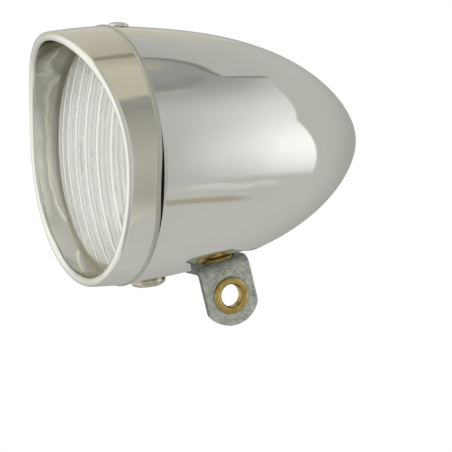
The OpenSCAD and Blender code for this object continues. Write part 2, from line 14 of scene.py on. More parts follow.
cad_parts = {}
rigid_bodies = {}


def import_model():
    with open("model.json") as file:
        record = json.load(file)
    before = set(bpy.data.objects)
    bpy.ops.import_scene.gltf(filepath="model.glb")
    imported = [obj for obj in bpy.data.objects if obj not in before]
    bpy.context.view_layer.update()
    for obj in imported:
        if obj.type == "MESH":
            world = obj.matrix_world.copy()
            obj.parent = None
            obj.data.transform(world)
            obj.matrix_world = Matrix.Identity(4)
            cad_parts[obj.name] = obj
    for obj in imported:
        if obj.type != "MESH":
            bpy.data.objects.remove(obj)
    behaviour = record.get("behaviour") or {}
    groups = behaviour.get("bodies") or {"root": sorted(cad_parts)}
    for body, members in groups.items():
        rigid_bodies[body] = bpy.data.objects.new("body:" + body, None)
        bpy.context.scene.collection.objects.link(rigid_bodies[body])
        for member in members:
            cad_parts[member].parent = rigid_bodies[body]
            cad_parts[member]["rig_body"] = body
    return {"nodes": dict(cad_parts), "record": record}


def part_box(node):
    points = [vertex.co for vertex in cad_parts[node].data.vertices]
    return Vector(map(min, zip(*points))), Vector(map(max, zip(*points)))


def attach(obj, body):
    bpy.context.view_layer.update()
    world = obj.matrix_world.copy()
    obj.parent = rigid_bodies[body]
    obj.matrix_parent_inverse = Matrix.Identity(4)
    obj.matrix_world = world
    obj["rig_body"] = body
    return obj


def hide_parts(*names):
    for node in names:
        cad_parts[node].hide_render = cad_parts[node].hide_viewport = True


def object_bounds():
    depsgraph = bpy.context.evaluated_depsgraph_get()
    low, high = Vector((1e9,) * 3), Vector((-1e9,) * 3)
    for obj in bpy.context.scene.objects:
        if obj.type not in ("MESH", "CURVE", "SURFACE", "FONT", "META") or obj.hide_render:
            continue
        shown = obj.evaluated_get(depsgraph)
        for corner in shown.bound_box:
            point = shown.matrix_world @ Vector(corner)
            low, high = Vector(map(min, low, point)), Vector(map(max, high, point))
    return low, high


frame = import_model()
cad_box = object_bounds()
nodes = frame["nodes"]
MM = 0.001

# Sizes that the frame gives
SHELL_LOW, SHELL_HIGH = (Vector(c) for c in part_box("shell"))
SEAM = Vector((SHELL_LOW.x, (SHELL_LOW.y + SHELL_HIGH.y) / 2, (SHELL_LOW.z + SHELL_HIGH.z) / 2))
SHELL_R = (SHELL_HIGH.y - SHELL_LOW.y) / 2 / MM
SHELL_LEN = (SHELL_HIGH.x - SHELL_LOW.x) / MM
RIM_LOW, RIM_HIGH = (Vector(c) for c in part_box("rim"))
SOLID_BEAD_R = (RIM_HIGH.y - RIM_LOW.y) / 2 / MM
PEAK_LEN = (SHELL_LOW.x - RIM_LOW.x) / MM

# Clearances
FACE_GAP, SEAT_GAP, SKIRT_GAP = 0.05, 0.12, 0.25

# Shell: its rounded edge starts a little under the rim's bead, so that no gap shows there
SHELL_WALL = 1.0
SHELL_BULGE, NOSE_BLUNT, SHELL_TAPER = 3.2, 1.6, 0.185
EDGE_ROUND, EDGE_UNDER = 0.1, 0.05

# The rim hangs a little askew, so that the seam stands open low on the near side. The opening's middle and
# spread are in degrees from the top. The rim's edge lies forward there, and so, a little, does the shell's,
# which comes back over OPEN_FADE.
OPEN_TURN, OPEN_SPREAD = 99.0, 17.0
OPEN_RIM, OPEN_SHELL, OPEN_FADE = 1.0, 0.12, 4.0

# Rim: the bead stands lower than the solid's
RIM_W = 8.8
HOOD_RISE = 2.2
RIM_R = SHELL_R - 0.05
RIM_DRAW = 0.7
RIM_REAR_X = -0.01
LIP_W = 2.3
BEAD_W, BEAD_STEP = 1.2, 0.1
BEAD_R = SOLID_BEAD_R - 0.45
SKIRT_LEN = 3.0
SEAT_R = SHELL_R - 2.75
HOOD_IN_SEAT = SEAT_R - 0.65
LENS_SEAT_X = -2.5

# Lens
LENS_R = SEAT_R - SEAT_GAP
LENS_T = 1.5
DOME_R = 70.0
DOME_GAP = 0.02
FLUTE_PITCH, FLUTE_H = 5.8, 0.8
LENS_EDGE_W, LENS_EDGE_T = 1.8, 2.2
LENS_BORDER_R, LENS_BORDER_SOFT = 24.8, 0.8

# Reflector and bulb
FOCAL_LEN = 8.5
GASKET_T = 1.1
REFLECTOR_WALL = 0.6
NECK_R, NECK_LEN, NECK_WALL = 5.65, 6.5, 0.8
CAP_R, CAP_LEN = 4.8, 10.0
BULB_R, BULB_NECK_R, GLASS_WALL = 5.5, 3.4, 0.5
COIL_R, COIL_HALF_LEN = 0.28, 1.2

# Recess under the shell
RECESS_DEPTH = 3.4
RECESS_FRONT, RECESS_WAIST, RECESS_REAR = 17.0, 5.5, 32.9
FRONT_FLARE, REAR_FLARE = 0.5, 0.17
ROOF_ROUND, ROOF_LEVEL, ROOF_TURN = 18.0, 6.0, 50.0
FOOT_ROOM = 2.7

# Rivet and screw
RIVET_X, RIVET_R, RIVET_H = 3.05, 2.4, 0.9
RIVET_SHANK_R, RIVET_SHANK_LEN = 1.2, 1.9
SCREW_X, SCREW_R, SCREW_LEN = 8.0, 2.0, 6.0
SCREW_HOLE_R = SCREW_R + 0.2
SCREW_HEAD_R, SCREW_HEAD_H = 4.15, 1.75
SLOT_W, SLOT_DEPTH = 1.0, 0.8

# Eyelets
EYE_BORE_R, EYE_TUBE_R, EYE_FLANGE_R, EYE_FLANGE_H = 2.65, 3.2, 4.5, 0.75
EYE_BACK_R, EYE_BACK_H = 3.8, 0.6
SPACER_H = 1.1

TO_ROW = Matrix.Translation(SEAM) @ Matrix.Scale(MM, 4)


# Shape helpers


def bullet(t):
    """The shell's radius at the share t of its length, as a share of its radius in front."""
    t = min(max(t, 0.0), 1.0)
    return (1 - t**SHELL_BULGE) ** (1 / NOSE_BLUNT) * (1 - SHELL_TAPER * t)


def shell_out(x):
    return SHELL_R * bullet(x / SHELL_LEN)


def shell_in(x):
    return (SHELL_R - SHELL_WALL) * bullet(x / (SHELL_LEN - SHELL_WALL))


def shell_slope(x):
    return atan((shell_out(x - 0.05) - shell_out(x + 0.05)) / 0.1)


def rim_out(x):
    return RIM_R - RIM_DRAW * (x / PEAK_LEN) ** 2


def lip_x(a):
    """The front of the lip at angle a from the top."""
    return -RIM_W - (PEAK_LEN - RIM_W) * max(cos(a), 0.0) ** HOOD_RISE


def askew(a):
    """How much of the seam's opening is reached at angle a from the top, towards the near side."""
    return exp(-((degrees(a) - OPEN_TURN) / OPEN_SPREAD) ** 2)


def sag(q, r):
    """How far a circle of radius r falls back at the distance q from its middle."""
    return r - sqrt(r * r - q * q)


def on_shell(x, side):
    """Frame on the shell's surface with local Z pointing out: side is 1 on top, -1 underneath."""
    turn = Matrix.Rotation(side * shell_slope(x), 4, "Y")
    flip = Matrix.Rotation(0 if side > 0 else pi, 4, "X")
    return Matrix.Translation((x, 0, side * shell_out(x))) @ turn @ flip


# Bracket frame: origin on the foot's upper face at the pivot, local Z along the pivot
LEAN = radians(12.3)
PIVOT_X = 26.0
ROOF_DROP = shell_out(PIVOT_X) - RECESS_DEPTH
PIVOT_Z = -(ROOF_DROP + FOOT_ROOM)
PIVOT_OFF = 1.35
LEG_OUT, STRIP_T = 6.6, 1.5
EYE_DROP = 8.3
ALONG_X = Matrix.Rotation(pi / 2, 4, "Y")
PIVOT = Matrix.Translation((PIVOT_X, 0, PIVOT_Z)) @ Matrix.Rotation(-LEAN, 4, "Y")


def sweep_angle(low, high, steps=14):
    """Angles in radians from low to high, which are in degrees."""
    return [radians(low + (high - low) * k / steps) for k in range(steps + 1)]


def finish_mesh(name, bm, angle=30):
    """Makes an object of bm, smooth but for edges sharper than angle."""
    bmesh.ops.recalc_face_normals(bm, faces=bm.faces)
    mesh = bpy.data.meshes.new(name)
    bm.to_mesh(mesh)
    bm.free()
    mesh.shade_smooth()
    mesh.set_sharp_from_angle(angle=radians(angle))
    obj = bpy.data.objects.new(name, mesh)
    bpy.context.scene.collection.objects.link(obj)
    return obj


def ring(bm, along, radius, turns):
    """A ring of vertices round local Z, or a single vertex where the radius is nothing."""
    if radius < 1e-6:
        return [bm.verts.new((0, 0, along))]
    return [bm.verts.new((radius * cos(2 * pi * k / turns), radius * sin(2 * pi * k / turns), along))
            for k in range(turns)]


def bridge(bm, one, two):
    """Faces between two rings, one of which may be a single vertex."""
    turns = max(len(one), len(two))
    for k in range(turns if turns > 1 else 0):
        n = (k + 1) % turns
        if len(one) == 1:
            bm.faces.new((one[0], two[k], two[n]))
        elif len(two) == 1:
            bm.faces.new((one[k], one[n], two[0]))
        else:
            bm.faces.new((one[k], one[n], two[n], two[k]))


def bridge_all(bm, rings, closed=False):
    """Faces between each ring and the next, and between the last and the first if closed."""
    for one, two in zip(rings, rings[1:] + rings[:1] if closed else rings[1:]):
        bridge(bm, one, two)


def lathe(name, outline, place=None, steps=128, angle=30, closed=True):
    """Turns an outline of (along, radius) points round the local Z axis of place."""
    bm = bmesh.new()
    bridge_all(bm, [ring(bm, along, radius, steps) for along, radius in outline], closed)
    bm.transform(TO_ROW @ (place or Matrix.Identity(4)))
    return finish_mesh(name, bm, angle)


def prism(name, points, low, high, place):
    """A flat outline of (x, y) points drawn out along local Z."""
    bm = bmesh.new()
    ends = [[bm.verts.new((x, y, z)) for x, y in points] for z in (low, high)]
    for end in ends:
        bm.faces.new(end)
    bridge(bm, *ends)
    bm.transform(TO_ROW @ place)
    return finish_mesh(name, bm)


def combine(obj, other, how):
    """Applies a boolean of obj with other, and removes other."""
    mod = obj.modifiers.new("combine", "BOOLEAN")
    mod.operation = how
    mod.solver = "EXACT"
    mod.object = other
    graph = bpy.context.evaluated_depsgraph_get()
    mesh = bpy.data.meshes.new_from_object(obj.evaluated_get(graph))
    obj.modifiers.clear()
    obj.data = mesh
    bpy.data.objects.remove(other)
    return obj


def weld(mesh, reach=1.5e-6):
    """Joins vertices that booleans leave within reach of each other, in metres."""
    bm = bmesh.new()
    bm.from_mesh(mesh)
    bmesh.ops.remove_doubles(bm, verts=bm.verts, dist=reach)
    bm.to_mesh(mesh)
    bm.free()


# Materials

FINE_BUMP = 0.2 * MM


class Graph:
    """Adds nodes to a node tree and joins them, one call a node. Inputs go by name, or by number as i0."""

    def __init__(self, tree):
        self.tree = tree
        tree.nodes.clear()

    def add(self, kind, out=0, settings=None, **inputs):
        node = self.tree.nodes.new(kind)
        for key, value in (settings or {}).items():
            setattr(node, key, value)
        for key, value in inputs.items():
            numbered = key[0] == "i" and key[1:].isdigit()
            self.feed(node, int(key[1:]) if numbered else key.replace("_", " "), value)
        return node.outputs[out]

    def feed(self, node, key, value):
        socket = node.inputs[key]
        if isinstance(value, bpy.types.NodeSocket):
            self.tree.links.new(value, socket)
        elif isinstance(value, (tuple, list)) and len(value) == 3 and socket.type == "RGBA":
            socket.default_value = (*value, 1)
        else:
            socket.default_value = value

    def math(self, operation, a, b=0.0, c=0.0):
        return self.add("ShaderNodeMath", settings={"operation": operation}, i0=a, i1=b, i2=c)

    def coords(self, kind):
        return self.add("ShaderNodeTexCoord", out=kind)

    def ray(self, kind):
        return self.add("ShaderNodeLightPath", out=kind)

    def split(self, vector):
        """The three parts of a vector."""
        node = self.tree.nodes.new("ShaderNodeSeparateXYZ")
        self.feed(node, 0, vector)
        return node.outputs

    def fade(self, value, low, high):
        """0 at low, 1 at high, smooth between; low may be the larger."""
        if low > high:
            return self.math("SUBTRACT", 1.0, self.fade(value, high, low))
        return self.add("ShaderNodeMapRange", settings={"interpolation_type": "SMOOTHSTEP"},
                        i0=value, i1=low, i2=high, i3=0.0, i4=1.0)

    def profile(self, value, stops):
        """A level that follows the stops (value, level) in a soft curve; the levels are under 2."""
        first, last = stops[0][0], stops[-1][0]
        place = self.add("ShaderNodeMapRange", i0=value, i1=float(first), i2=float(last), i3=0.0, i4=1.0)
        node = self.tree.nodes.new("ShaderNodeValToRGB")
        node.color_ramp.interpolation = "B_SPLINE"
        points = node.color_ramp.elements
        for i, (at, level) in enumerate(stops):
            point = points[i] if i in (0, 1) else points.new(1.0)
            point.position = (at - first) / (last - first)
            point.color = (level / 2, level / 2, level / 2, 1)
        self.feed(node, 0, place)
        return self.math("MULTIPLY", node.outputs[0], 2.0)

    def blend(self, factor, a, b):
        """Shader a where factor is 0, and b where it is 1."""
        node = self.tree.nodes.new("ShaderNodeMixShader")
        for key, value in enumerate((factor, a, b)):
            self.feed(node, key, value)
        return node.outputs[0]

    def mix(self, factor, a, b, how="MIX"):
        """Colour a where factor is 0, and b where it is 1."""
        return self.add("ShaderNodeMix", out=2, settings={"data_type": "RGBA", "blend_type": how},
                        i0=factor, i6=a, i7=b)

    def finish(self, shader, kind="ShaderNodeOutputMaterial"):
        node = self.tree.nodes.new(kind)
        self.feed(node, "Surface", shader)

    def surface(self, tone, rough, normal=None, metal=0.0):
        """Finishes the tree with a metal or a dull surface."""
        inputs = {"Base_Color": tone, "Metallic": metal, "Roughness": rough}
        if normal:
            inputs["Normal"] = normal
        self.finish(self.add("ShaderNodeBsdfPrincipled", **inputs))


def material(name):
    mat = bpy.data.materials.new(name)
    mat.use_nodes = True
    return mat, Graph(mat.node_tree)


def bump(graph, height, strength, distance):
    return graph.add("ShaderNodeBump", Height=height, Strength=strength, Distance=distance)


def noise(graph, scale, detail=2.0, rough=0.5, coords=None):
    where = coords or graph.coords("Object")
    return graph.add("ShaderNodeTexNoise", Vector=where, Scale=scale, Detail=detail, Roughness=rough)


def chrome_material(name, light, dark, rough, spread, waviness=0.05, scale=45.0, painted_pale_share=0.0):
    """Plated metal: a faint haze drifts over it, and the roughness follows the haze. A share of the tone,
    given by the last argument, turns pale towards the bottom of the lamp: painted light, which leaves the top
    looking shaded."""
    mat, g = material(name)
    haze = g.fade(noise(g, 60.0, 3.0), 0.42, 0.75)
    wave = bump(g, noise(g, scale, 1.0), waviness, 0.0004)
    tone = g.mix(haze, light, dark)
    # Painted light: the tone pales towards the bottom, leaving the top darker as if in shade
    if painted_pale_share:
        top, bottom = SEAM.z + 22 * MM, SEAM.z - 24 * MM
        low = g.fade(g.split(g.coords("Object"))[2], top, bottom)
        tone = g.mix(g.math("MULTIPLY", low, painted_pale_share), tone, (0.97, 0.965, 0.91))
    g.surface(tone, g.math("MULTIPLY_ADD", haze, spread, rough), wave, metal=1.0)
    return mat


def metal_material(name, light, dark, rough_low, rough_high, scale, grain=0.03):
    """A worn metal: two tones and a roughness that drift with noise, under a fine grain."""
    mat, g = material(name)
    drift = g.fade(noise(g, scale, 4.0), 0.35, 0.68)
    tone = g.mix(drift, light, dark)
    rough = g.math("MULTIPLY_ADD", drift, rough_high - rough_low, rough_low)
    normal = bump(g, noise(g, scale * 12, 2.0), grain, FINE_BUMP)
    g.surface(tone, rough, normal, metal=1.0)
    return mat


def zinc_material():
    """Zinc plate with a fine mottling, and painted shade that darkens the leg's cut edges."""
    mat, g = material("zinc_strip")
    where = g.coords("Object")
    cloud = g.fade(noise(g, 520.0, 5.0, 0.68, where), 0.38, 0.64)
    speck = g.fade(noise(g, 1900.0, 3.0, 0.6, where), 0.46, 0.66)
    stretched = g.add("ShaderNodeMapping", Vector=where, Scale=(900.0, 900.0, 5200.0))
    scratch = g.fade(noise(g, 1.0, 2.0, 0.5, stretched), 0.52, 0.66)
    tone = g.mix(cloud, (0.43, 0.445, 0.41), (0.265, 0.28, 0.26))
    tone = g.mix(g.math("MULTIPLY", g.math("MAXIMUM", speck, scratch), 0.5), tone, (0.66, 0.67, 0.64))
    # Painted shade on the leg's cut edges, the faces that look along x; it stops short of the foot
    cut = g.fade(g.math("ABSOLUTE", g.split(g.coords("Normal"))[0]), 0.75, 0.95)
    below_foot = g.fade(g.split(where)[2], 7.8 * MM, 6.2 * MM)
    cut = g.math("MULTIPLY", cut, below_foot)
    tone = g.mix(g.math("MULTIPLY", cut, 0.85), tone, (0.09, 0.09, 0.085))
    rough = g.math("MULTIPLY_ADD", cloud, 0.12, 0.42)
    normal = bump(g, g.math("ADD", cloud, speck), 0.12, 0.0001)
    g.surface(tone, rough, normal, metal=0.45)
    return mat


def glass(g, ior, normal, through=0.0):
    """Clear glass. Shadow rays pass, so that what lies behind it is lit, and so does a share, through, of
    the rays that have come through other glass."""
    solid = g.add("ShaderNodeBsdfPrincipled", Base_Color=(0.97, 0.975, 0.965), Roughness=0.02, IOR=ior,
                  Transmission_Weight=1.0, Normal=normal)
    clear = g.add("ShaderNodeBsdfTransparent", Color=(0.93, 0.93, 0.92))
    passing = g.math("MULTIPLY", g.ray("Is Transmission Ray"), through)
    return g.blend(g.math("MAXIMUM", g.ray("Is Shadow Ray"), passing), solid, clear)


def glass_material():
    mat, g = material("clear_glass")
    g.finish(glass(g, 1.5, bump(g, noise(g, 220.0, 2.0), 0.03, FINE_BUMP), through=0.8))
    return mat


def lens_material():
    """Moulded lens: clear, with a faint milkiness in front and pale ridges between the flutes: each ridge is
    a painted highlight with painted shade on its flanks. Its border is a brownish painted reflection of the
    hood.
    It is clearest in the middle, and has painted shade that darkens it towards its far side."""
    mat, g = material("lens_glass")
    where = g.coords("Object")
    front = g.fade(g.split(g.coords("Normal"))[0], -0.3, -0.5)
    place = g.split(where)
    y, z = (g.math("MULTIPLY", g.math("SUBTRACT", place[axis], SEAM[axis]), 1 / MM) for axis in (1, 2))
    radius = g.math("SQRT", g.math("ADD", g.math("MULTIPLY", y, y), g.math("MULTIPLY", z, z)))
    in_flute = g.math("FRACT", g.math("MULTIPLY", y, 1 / FLUTE_PITCH))
    off = g.math("MULTIPLY", g.math("ABSOLUTE", g.math("SUBTRACT", in_flute, 0.5)), FLUTE_PITCH)
    # Painted highlight along each ridge between the flutes, with painted shade on the flanks beside it
    ridge_glint = g.fade(off, 0.72, 0.25)
    flank_shade = g.fade(off, 1.7, 0.75)
    # Painted reflection of the hood: a brownish border round the lens
    border = g.fade(radius, LENS_BORDER_R, LENS_BORDER_R + LENS_BORDER_SOFT)
    smear = noise(g, 60.0, 2.0, 0.5, where)
    middle = g.fade(radius, 2.5, 4.5)
    milk = g.math("MULTIPLY_ADD", smear, 0.10, 0.40)
    milk = g.math("MULTIPLY", milk, g.math("MULTIPLY_ADD", middle, 0.4, 0.6))
    milk = g.math("MAXIMUM", g.math("MULTIPLY_ADD", ridge_glint, 0.5, milk), g.math("MULTIPLY", border, 0.72))
    tone = g.mix(flank_shade, (0.86, 0.855, 0.86), (0.60, 0.585, 0.59))
    # Painted shade: the tone darkens towards the lens's far side
    tone = g.mix(g.math("MULTIPLY", g.fade(y, 0.0, 18.0), 0.75), tone, (0.62, 0.61, 0.615))
    tone = g.mix(ridge_glint, tone, (1.0, 1.0, 0.99))
    tone = g.mix(border, tone, (0.47, 0.43, 0.375))
    haze = g.add("ShaderNodeBsdfDiffuse", Color=tone)
    clear = glass(g, 1.32, bump(g, smear, 0.03, FINE_BUMP))
    g.finish(g.blend(g.math("MULTIPLY", milk, front), clear, haze))
    return mat


def mirror_material():
    """The reflector's silvering, with a faint cloud on it."""
    mat, g = material("silvered")
    cloud = g.fade(noise(g, 90.0, 3.0), 0.4, 0.7)
    tone = g.mix(cloud, (0.86, 0.86, 0.855), (0.80, 0.80, 0.79))
    g.surface(tone, g.math("MULTIPLY_ADD", cloud, 0.06, 0.08), metal=1.0)
    return mat


def dull_material(name, light, dark, rough, scale):
    """Rubber, fibre, or a wall in painted shade: two tones that drift with noise, over a slightly uneven
    surface.
    """
    mat, g = material(name)
    cloud = g.fade(noise(g, scale, 4.0), 0.35, 0.7)
    tone = g.mix(cloud, light, dark)
    normal = bump(g, noise(g, scale * 6, 3.0), 0.15, FINE_BUMP)
    g.surface(tone, rough, normal)
    return mat


# Worn metals: light and dark tone, lowest and highest roughness, scale of the drift
METALS = {
    "nickel": ((0.54, 0.50, 0.42), (0.41, 0.375, 0.31), 0.18, 0.34, 260.0),
    "brass_bright": ((0.50, 0.37, 0.135), (0.33, 0.23, 0.07), 0.20, 0.38, 420.0),
    "brass_dull": ((0.60, 0.43, 0.17), (0.45, 0.30, 0.10), 0.25, 0.42, 300.0),
    "spring_steel": ((0.30, 0.31, 0.33), (0.20, 0.21, 0.23), 0.25, 0.40, 240.0),
    "solder": ((0.50, 0.51, 0.52), (0.36, 0.37, 0.39), 0.28, 0.45, 500.0),
    "filament_wire": ((0.50, 0.50, 0.51), (0.38, 0.38, 0.39), 0.3, 0.45, 500.0),
}
MATERIALS = {name: metal_material(name, *look) for name, look in METALS.items()}
MATERIALS |= {
    "chrome": chrome_material("chrome", (0.66, 0.655, 0.633), (0.63, 0.62, 0.593), rough=0.035, spread=0.035),
    "zinc_strip": zinc_material(),
    "clear_glass": glass_material(),
    "silvered": mirror_material(),
    "black_rubber": dull_material("black_rubber", (0.035, 0.03, 0.028), (0.06, 0.052, 0.048), 0.7, 300.0),
    "fibre": dull_material("fibre", (0.16, 0.075, 0.04), (0.10, 0.045, 0.025), 0.6, 400.0),
}
# Finishes of the hood's inside, whose top is left darker by painted shading, of the bead, of the rim's wall
# in the seam, painted near-black as shade, and of the lens
HOOD_INSIDE = chrome_material("hood_inside", (0.60, 0.595, 0.54), (0.49, 0.49, 0.445),
                              rough=0.10, spread=0.05, waviness=0.35, scale=170.0, painted_pale_share=0.65)
BEAD_FINISH = chrome_material("bead", (0.48, 0.48, 0.44), (0.44, 0.44, 0.40), rough=0.40, spread=0.10)
# Near-black painted shade for the rim's skirt and rear face, where the seam's gap lies in shade
SEAM_SHADE_FINISH = dull_material("seam_painted_shade", (0.03, 0.03, 0.028), (0.05, 0.048, 0.045), 0.7, 300.0)
LENS_FINISH = lens_material()

# Every solid gets its material, and smooth faces between its sharp edges
SLOTS = {row["node"]: row["material_slot"] for row in frame["record"]["subparts"]}
for node_name, node_object in nodes.items():
    for slot in node_object.material_slots:
        slot.material = MATERIALS[SLOTS[node_name]]
    node_object.data.shade_smooth()
    node_object.data.set_sharp_from_angle(angle=radians(28))


def dress(obj, node_name, finish=None):
    """Puts obj in the place of a CAD node, on its body, with its material."""
    obj.data.materials.clear()
    obj.data.materials.append(finish or MATERIALS[SLOTS[node_name]])
    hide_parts(node_name)
    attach(obj, nodes[node_name]["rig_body"])
    return obj


# The shell's skin


def bullet_outline(radius, length, steps=110):
    """The bullet's outline, closer stepped towards the nose, where it ends on the axis."""
    shares = [sin(pi / 2 * i / steps) for i in range(steps)]
    return [(length * share, radius * bullet(share)) for share in shares] + [(length, 0.0)]


def recess_plan(grow):
    """The recess from above in (x, y): it flares towards both sides of the lamp, and past them."""
    reach = SHELL_R + 5
    front = RECESS_FRONT - grow
    rear = RECESS_REAR + grow
    flare = front - FRONT_FLARE * (reach - RECESS_WAIST)
    return [(front, -RECESS_WAIST), (flare, -reach), (rear + REAR_FLARE * reach, -reach), (rear, 0),
            (rear + REAR_FLARE * reach, reach), (flare, reach), (front, RECESS_WAIST)]


def recess_side(grow):
    """The recess from the side in (x, z): a level roof that rounds down to the front."""
    centre, roof = PIVOT_X - ROOF_LEVEL, -ROOF_DROP + grow
    arc = [(centre - ROOF_ROUND * sin(a), roof - ROOF_ROUND * (1 - cos(a)))
           for a in sweep_angle(0, ROOF_TURN, 25)]
    below, behind = roof - 30, RECESS_REAR + 20
    return [(behind, below), (behind, roof)] + arc + [(arc[-1][0], below)]


def recess(name, grow):
    """The recess as a solid, larger by grow on every side, which reaches past the shell."""
    past, top = 50, -10
    block = prism(name, recess_plan(grow), -SHELL_R - 10, top, Matrix.Identity(4))
    side = prism(name + "_side", recess_side(grow), -past, past, Matrix.Rotation(pi / 2, 4, "X"))
    return combine(block, side, "INTERSECT")


def rod(name, radius, low, high, place, steps=96):
    """A plain rod along local Z of place."""
    return lathe(name, [(low, 0), (low, radius), (high, radius), (high, 0)], place, steps)


# The boss round the pivot, in the bracket frame: its face over the spacer, the recess's roof over the foot,
# and the seat of the washer inside the shell
BOSS_R = 3.1
WASHER_R = 4.0
BOSS_FACE = EYE_FLANGE_H + 2 * FACE_GAP + SPACER_H
ROOF_UP = (-ROOF_DROP - PIVOT_Z) / cos(LEAN)
INNER_BOSS_FACE = ROOF_UP + SHELL_WALL / cos(LEAN) + WASHER_R * tan(LEAN) + 0.05

# Where the shell's rounded edge ends
EDGE_X = EDGE_ROUND - EDGE_UNDER


def shell_body(edge_steps=6):
    """The shell as a full solid, with its edge rounded and pulled forward where the seam stands open."""
    edge_r = shell_out(EDGE_X)
    quarter = [pi / 2 * k / edge_steps for k in range(edge_steps, -1, -1)]
    outline = [(-EDGE_UNDER, 0)]
    outline += [(EDGE_X - EDGE_ROUND * sin(a), edge_r - EDGE_ROUND * (1 - cos(a))) for a in quarter]
    outline += [p for p in bullet_outline(SHELL_R, SHELL_LEN) if p[0] > EDGE_X + 0.05]
    body = lathe("shell_skin", outline, ALONG_X, steps=240)
    back = TO_ROW.inverted()
    for vertex in body.data.vertices:
        p = back @ vertex.co
        near = max(0.0, 1 - max(p.x - EDGE_X, 0.0) / OPEN_FADE)
        vertex.co.x -= OPEN_SHELL * askew(atan2(-p.y, p.z) % (2 * pi)) * near * MM
    return body


def shell_cavity():
    """What the shell is hollowed by: it leaves a wall round the recess and the boss."""
    inside_r, inside_len, open_x = SHELL_R - SHELL_WALL, SHELL_LEN - SHELL_WALL, -2
    outline = [(open_x, 0), (open_x, inside_r)] + bullet_outline(inside_r, inside_len, 60)
    cavity = lathe("shell_cavity", outline, ALONG_X, steps=160)
    combine(cavity, recess("recess_skin", SHELL_WALL), "DIFFERENCE")
    return combine(cavity, rod("boss_in", WASHER_R, 0, INNER_BOSS_FACE, PIVOT), "DIFFERENCE")


def shell_piece(through=5):
    """The shell, hollow, with its recess, the boss in the recess's roof and its three holes."""
    body = shell_body()
    cavity = shell_cavity()
    hollow = recess("recess_cut", 0)
    combine(hollow, rod("boss_out", BOSS_R, BOSS_FACE, 3 * ROOF_UP, PIVOT), "DIFFERENCE")
    for cutter in (cavity, hollow,
                   rod("pivot_hole", EYE_BORE_R, -2, 20, PIVOT),
                   rod("rivet_hole", RIVET_SHANK_R + FACE_GAP, -through, through, on_shell(RIVET_X, 1)),
                   rod("screw_hole", SCREW_HOLE_R, -through, through, on_shell(SCREW_X, -1))):
        combine(body, cutter, "DIFFERENCE")
    weld(body.data)
    smooth_by_formula(body.data, shell_out, EDGE_X - OPEN_SHELL)
    return dress(body, "shell")


def smooth_by_formula(mesh, radius_at, x_from, step=0.01, near_skin=0.12):
    """Gives the corners of the outer skin the exact normal of the turned surface, so that it mirrors
    cleanly. Faces in front of x_from or off the skin by more than near_skin keep their own, and so do
    those that face inwards, but for the blunt nose."""
    mesh.set_sharp_from_angle(angle=radians(30))
    normals = [Vector(c.vector) for c in mesh.corner_normals]
    back = TO_ROW.inverted()
    nose_x, tip_r = 0.9 * SHELL_LEN, 0.2
    for face in mesh.polygons:
        centre = back @ face.center
        if centre.x < x_from or abs(sqrt(centre.y**2 + centre.z**2) - radius_at(centre.x)) > near_skin:
            continue
        out = Vector((0, centre.y, centre.z)).normalized()
        if face.normal.dot(out) < 0.1 and centre.x < nose_x:
            continue
        for loop in face.loop_indices:
            p = back @ mesh.vertices[mesh.loops[loop].vertex_index].co
            r = sqrt(p.y**2 + p.z**2)
            x = min(max(p.x, x_from), SHELL_LEN - 2 * step)
            slope = (radius_at(x + step) - radius_at(x - step)) / (2 * step)
            if r < tip_r:
                normals[loop] = Vector((1, 0, 0))
            else:
                normals[loop] = Vector((-slope, p.y / r, p.z / r)).normalized()
    mesh.normals_split_custom_set([tuple(n) for n in normals])


shell_piece()

# The rim's band

# Its finishes, in the order of its materials
PLATE, HOOD, BEAD, SEAM_SHADE = range(4)


def rim_section(a, bead_steps=16, arc_steps=14, side_steps=14, hood_steps=6):
    """Points (x, r) round the rim's wall at angle a from the top, and the finish of the face after each:
    skirt, bead, side, lip, the hood's inside and the lens's seat."""
    front = lip_x(a)
    lip_r = LIP_W / 2
    mid = rim_out(front + 1) - lip_r
    rear = RIM_REAR_X - OPEN_RIM * askew(a)
    points = [(SKIRT_LEN, SEAT_R), (SKIRT_LEN, shell_in(SKIRT_LEN) - SKIRT_GAP),
              (rear, shell_in(0) - SKIRT_GAP)]
    bead_start = len(points)
    points += [(rear - BEAD_W * k / bead_steps, RIM_R + (BEAD_R - RIM_R) * sin(pi * k / bead_steps) ** 2)
               for k in range(bead_steps + 1)]
    start, end = rear - BEAD_W - BEAD_STEP, front + lip_r
    points += [(x, rim_out(x)) for x in (start + (end - start) * k / side_steps for k in range(side_steps))]
    points += [(front + lip_r - lip_r * sin(b), mid + lip_r * cos(b))
               for b in (pi * k / arc_steps for k in range(arc_steps + 1))]
    lip_x_in, lip_r_in = points[-1]
    points += [(lip_x_in + (LENS_SEAT_X - lip_x_in) * k / hood_steps,
                lip_r_in + (HOOD_IN_SEAT - lip_r_in) * k / hood_steps) for k in range(1, hood_steps + 1)]
    points.append((LENS_SEAT_X, SEAT_R))
    # The skirt and the rear face are painted near-black as the seam's shade
    finish = [SEAM_SHADE] * bead_start + [BEAD] * bead_steps + [PLATE] * (1 + side_steps + arc_steps)
    return points, finish + [HOOD] * (len(points) - len(finish))


def rim_piece(turns=300):
    """The rim with its hood, as one closed band of sections."""
    bm = bmesh.new()
    sections = []
    for a in (2 * pi * k / turns for k in range(turns)):
        sections.append([bm.verts.new((x, -r * sin(a), r * cos(a))) for x, r in rim_section(a)[0]])
    bridge_all(bm, sections, closed=True)
    bm.transform(TO_ROW)
    rim = dress(finish_mesh("rim_band", bm, 32), "rim")
    for finish in (HOOD_INSIDE, BEAD_FINISH, SEAM_SHADE_FINISH):
        rim.data.materials.append(finish)
    finishes = rim_section(0)[1]
    for face in rim.data.polygons:
        face.material_index = finishes[face.index % len(finishes)]


rim_piece()

# The lens's glass


